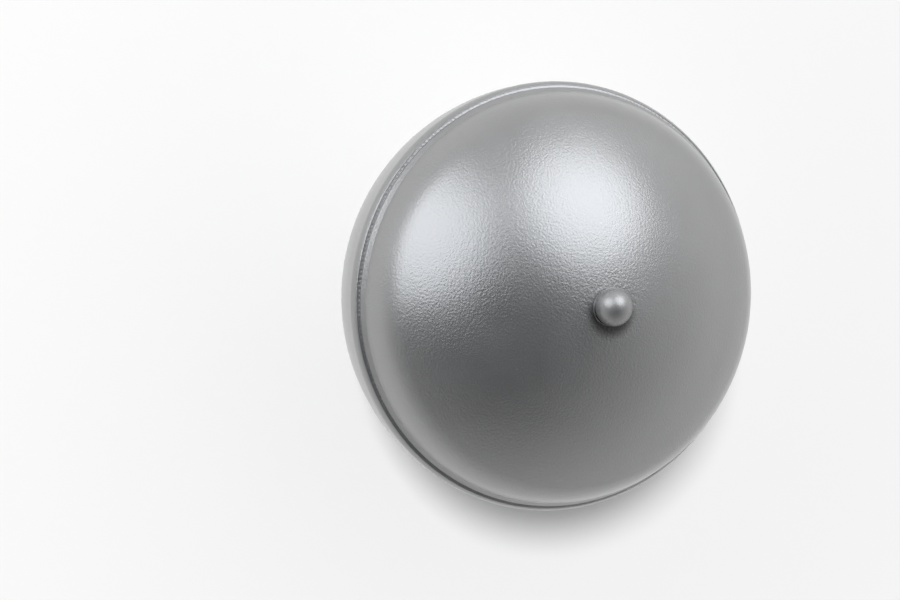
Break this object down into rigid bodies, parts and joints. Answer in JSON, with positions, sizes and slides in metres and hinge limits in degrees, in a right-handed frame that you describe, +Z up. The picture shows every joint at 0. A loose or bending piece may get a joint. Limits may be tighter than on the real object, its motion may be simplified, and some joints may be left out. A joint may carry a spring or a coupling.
{
  "type": "diaphragm accumulator",
  "caption": "Welded steel ball that stores hydraulic pressure: gas above a rubber diaphragm, oil below it, fed through a screwed port with a damper valve.",
  "frame": {"origin": "middle of the port's end face, on which the ball stands", "axes": "+Z up the ball's axis, from the port to the gas charging ball; X and Y are any two square directions, because the outside is round about Z"},
  "size_m": [0.116, 0.116, 0.1127],
  "materials": {
    "paint": "satin grey paint with a fine orange peel",
    "bare_steel": "turned, lightly oiled",
    "hardened_steel": "ground",
    "spring_steel": "blued, smooth",
    "copper": "annealed copper",
    "button_metal": "turned",
    "black_rubber": "matt",
    "seal_rubber": "matt dark slate"
  },
  "bodies": {
    "ball": {"gas_side_shell": "paint", "oil_side_shell": "paint", "equator_weld": "paint", "charge_ball": "paint", "charge_ball_weld": "paint", "clamp_ring": "bare_steel", "diaphragm": "black_rubber", "port_neck": "bare_steel", "neck_weld": "paint", "port_seal_ring": "seal_rubber", "damper_gasket": "copper", "damper_body": "hardened_steel", "damper_pin": "hardened_steel", "damper_nut": "bare_steel", "damper_lock_ring": "bare_steel", "upper_stop_washer": "hardened_steel", "lower_stop_washer": "hardened_steel", "upper_leaf_1": "spring_steel", "upper_leaf_2": "spring_steel", "upper_leaf_3": "spring_steel", "lower_leaf_1": "spring_steel", "lower_leaf_2": "spring_steel", "lower_leaf_3": "spring_steel"},
    "diaphragm_centre": {"diaphragm_button": "button_metal"}
  },
  "joints": [
    {"name": "diaphragm_stroke", "type": "slide", "parent": "ball", "child": "diaphragm_centre", "axis": [0, 0, 1], "range_m": [0, 0.058], "deforming": ["diaphragm"]}
  ]
}
